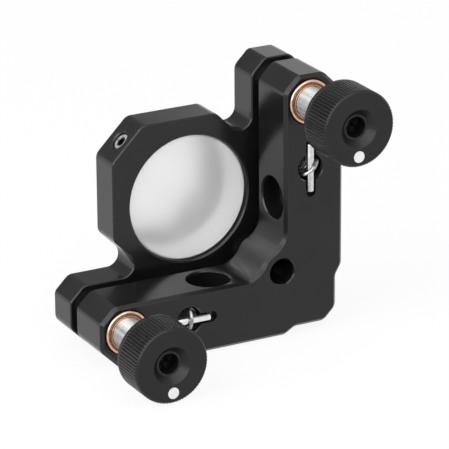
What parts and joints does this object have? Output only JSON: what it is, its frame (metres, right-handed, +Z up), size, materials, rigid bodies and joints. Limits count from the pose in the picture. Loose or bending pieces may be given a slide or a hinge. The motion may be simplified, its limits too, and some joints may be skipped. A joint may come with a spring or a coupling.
{
  "type": "kinematic mirror mount",
  "caption": "L-shaped kinematic mount that holds a round mirror in a spring-loaded front plate, tipped and tilted by knurled fine-thread knobs.",
  "frame": {"origin": "on the base face, on the axis of the base screw hole; the mirror's axis runs 26.5 mm above it and 0.4 mm towards +X", "axes": "+Z up along the base screw hole, +Y out of the mirror's front face, +X towards the side face and the pivot corner"},
  "size_m": [0.0545, 0.0404, 0.0545],
  "materials": {
    "anodised": "satin black anodised",
    "knob_black": "satin black anodised, knurled",
    "ground_glass": "fine-ground back",
    "bronze": "turned bronze",
    "steel": "turned stainless steel",
    "ball_steel": "polished hardened steel",
    "seat_steel": "ground hardened steel",
    "spring_steel": "drawn wire",
    "nylon": "natural nylon",
    "white_paint": "white paint fill"
  },
  "bodies": {
    "back": {"back_plate": "anodised", "upper_bushing": "bronze", "lower_bushing": "bronze", "pivot_stud": "steel", "upper_rear_pin": "steel", "lower_rear_pin": "steel", "upper_spring": "spring_steel", "lower_spring": "spring_steel"},
    "upper_slide": {"upper_ball": "ball_steel"},
    "upper_turn": {"upper_screw": "steel", "upper_knob": "knob_black", "upper_index_dot": "white_paint"},
    "lower_slide": {"lower_ball": "ball_steel"},
    "lower_turn": {"lower_screw": "steel", "lower_knob": "knob_black", "lower_index_dot": "white_paint"},
    "pivot": {"pivot_ball": "ball_steel"},
    "front": {"front_plate": "anodised", "mirror": "ground_glass", "mirror_set_screw": "steel", "set_screw_tip": "nylon", "cone_seat": "seat_steel", "groove_seat": "seat_steel", "flat_seat": "seat_steel", "upper_front_pin": "steel", "lower_front_pin": "steel"}
  },
  "joints": [
    {"name": "upper_screw_travel", "type": "slide", "parent": "back", "child": "upper_slide", "axis": [0, 1, 0], "range_m": [-0.00173, 0.00277]},
    {"name": "upper_knob_turn", "type": "hinge", "parent": "upper_slide", "child": "upper_turn", "pos_m": [0.01945, 0, 0.047], "axis": [0, 1, 0], "range_deg": [-1950, 3120]},
    {"name": "lower_screw_travel", "type": "slide", "parent": "back", "child": "lower_slide", "axis": [0, 1, 0], "range_m": [-0.00173, 0.00277]},
    {"name": "lower_knob_turn", "type": "hinge", "parent": "lower_slide", "child": "lower_turn", "pos_m": [-0.0201, 0, 0.00745], "axis": [0, 1, 0], "range_deg": [-1950, 3120]},
    {"name": "pitch", "type": "hinge", "parent": "back", "child": "pivot", "pos_m": [0.01945, 0.007, 0.00745], "axis": [-1, 0, 0], "range_deg": [-2.5, 4], "deforming": ["upper_spring"]},
    {"name": "yaw", "type": "hinge", "parent": "pivot", "child": "front", "pos_m": [0.01945, 0.007, 0.00745], "axis": [0, 0, -1], "range_deg": [-2.5, 4], "deforming": ["lower_spring"]}
  ],
  "couplings": [
    {"joint": "upper_screw_travel", "follows": "upper_knob_turn", "m_per_rad": 0.000050532},
    {"joint": "pitch", "follows": "upper_knob_turn", "ratio": 0.0012777},
    {"joint": "lower_screw_travel", "follows": "lower_knob_turn", "m_per_rad": 0.000050532},
    {"joint": "yaw", "follows": "lower_knob_turn", "ratio": 0.0012777}
  ]
}
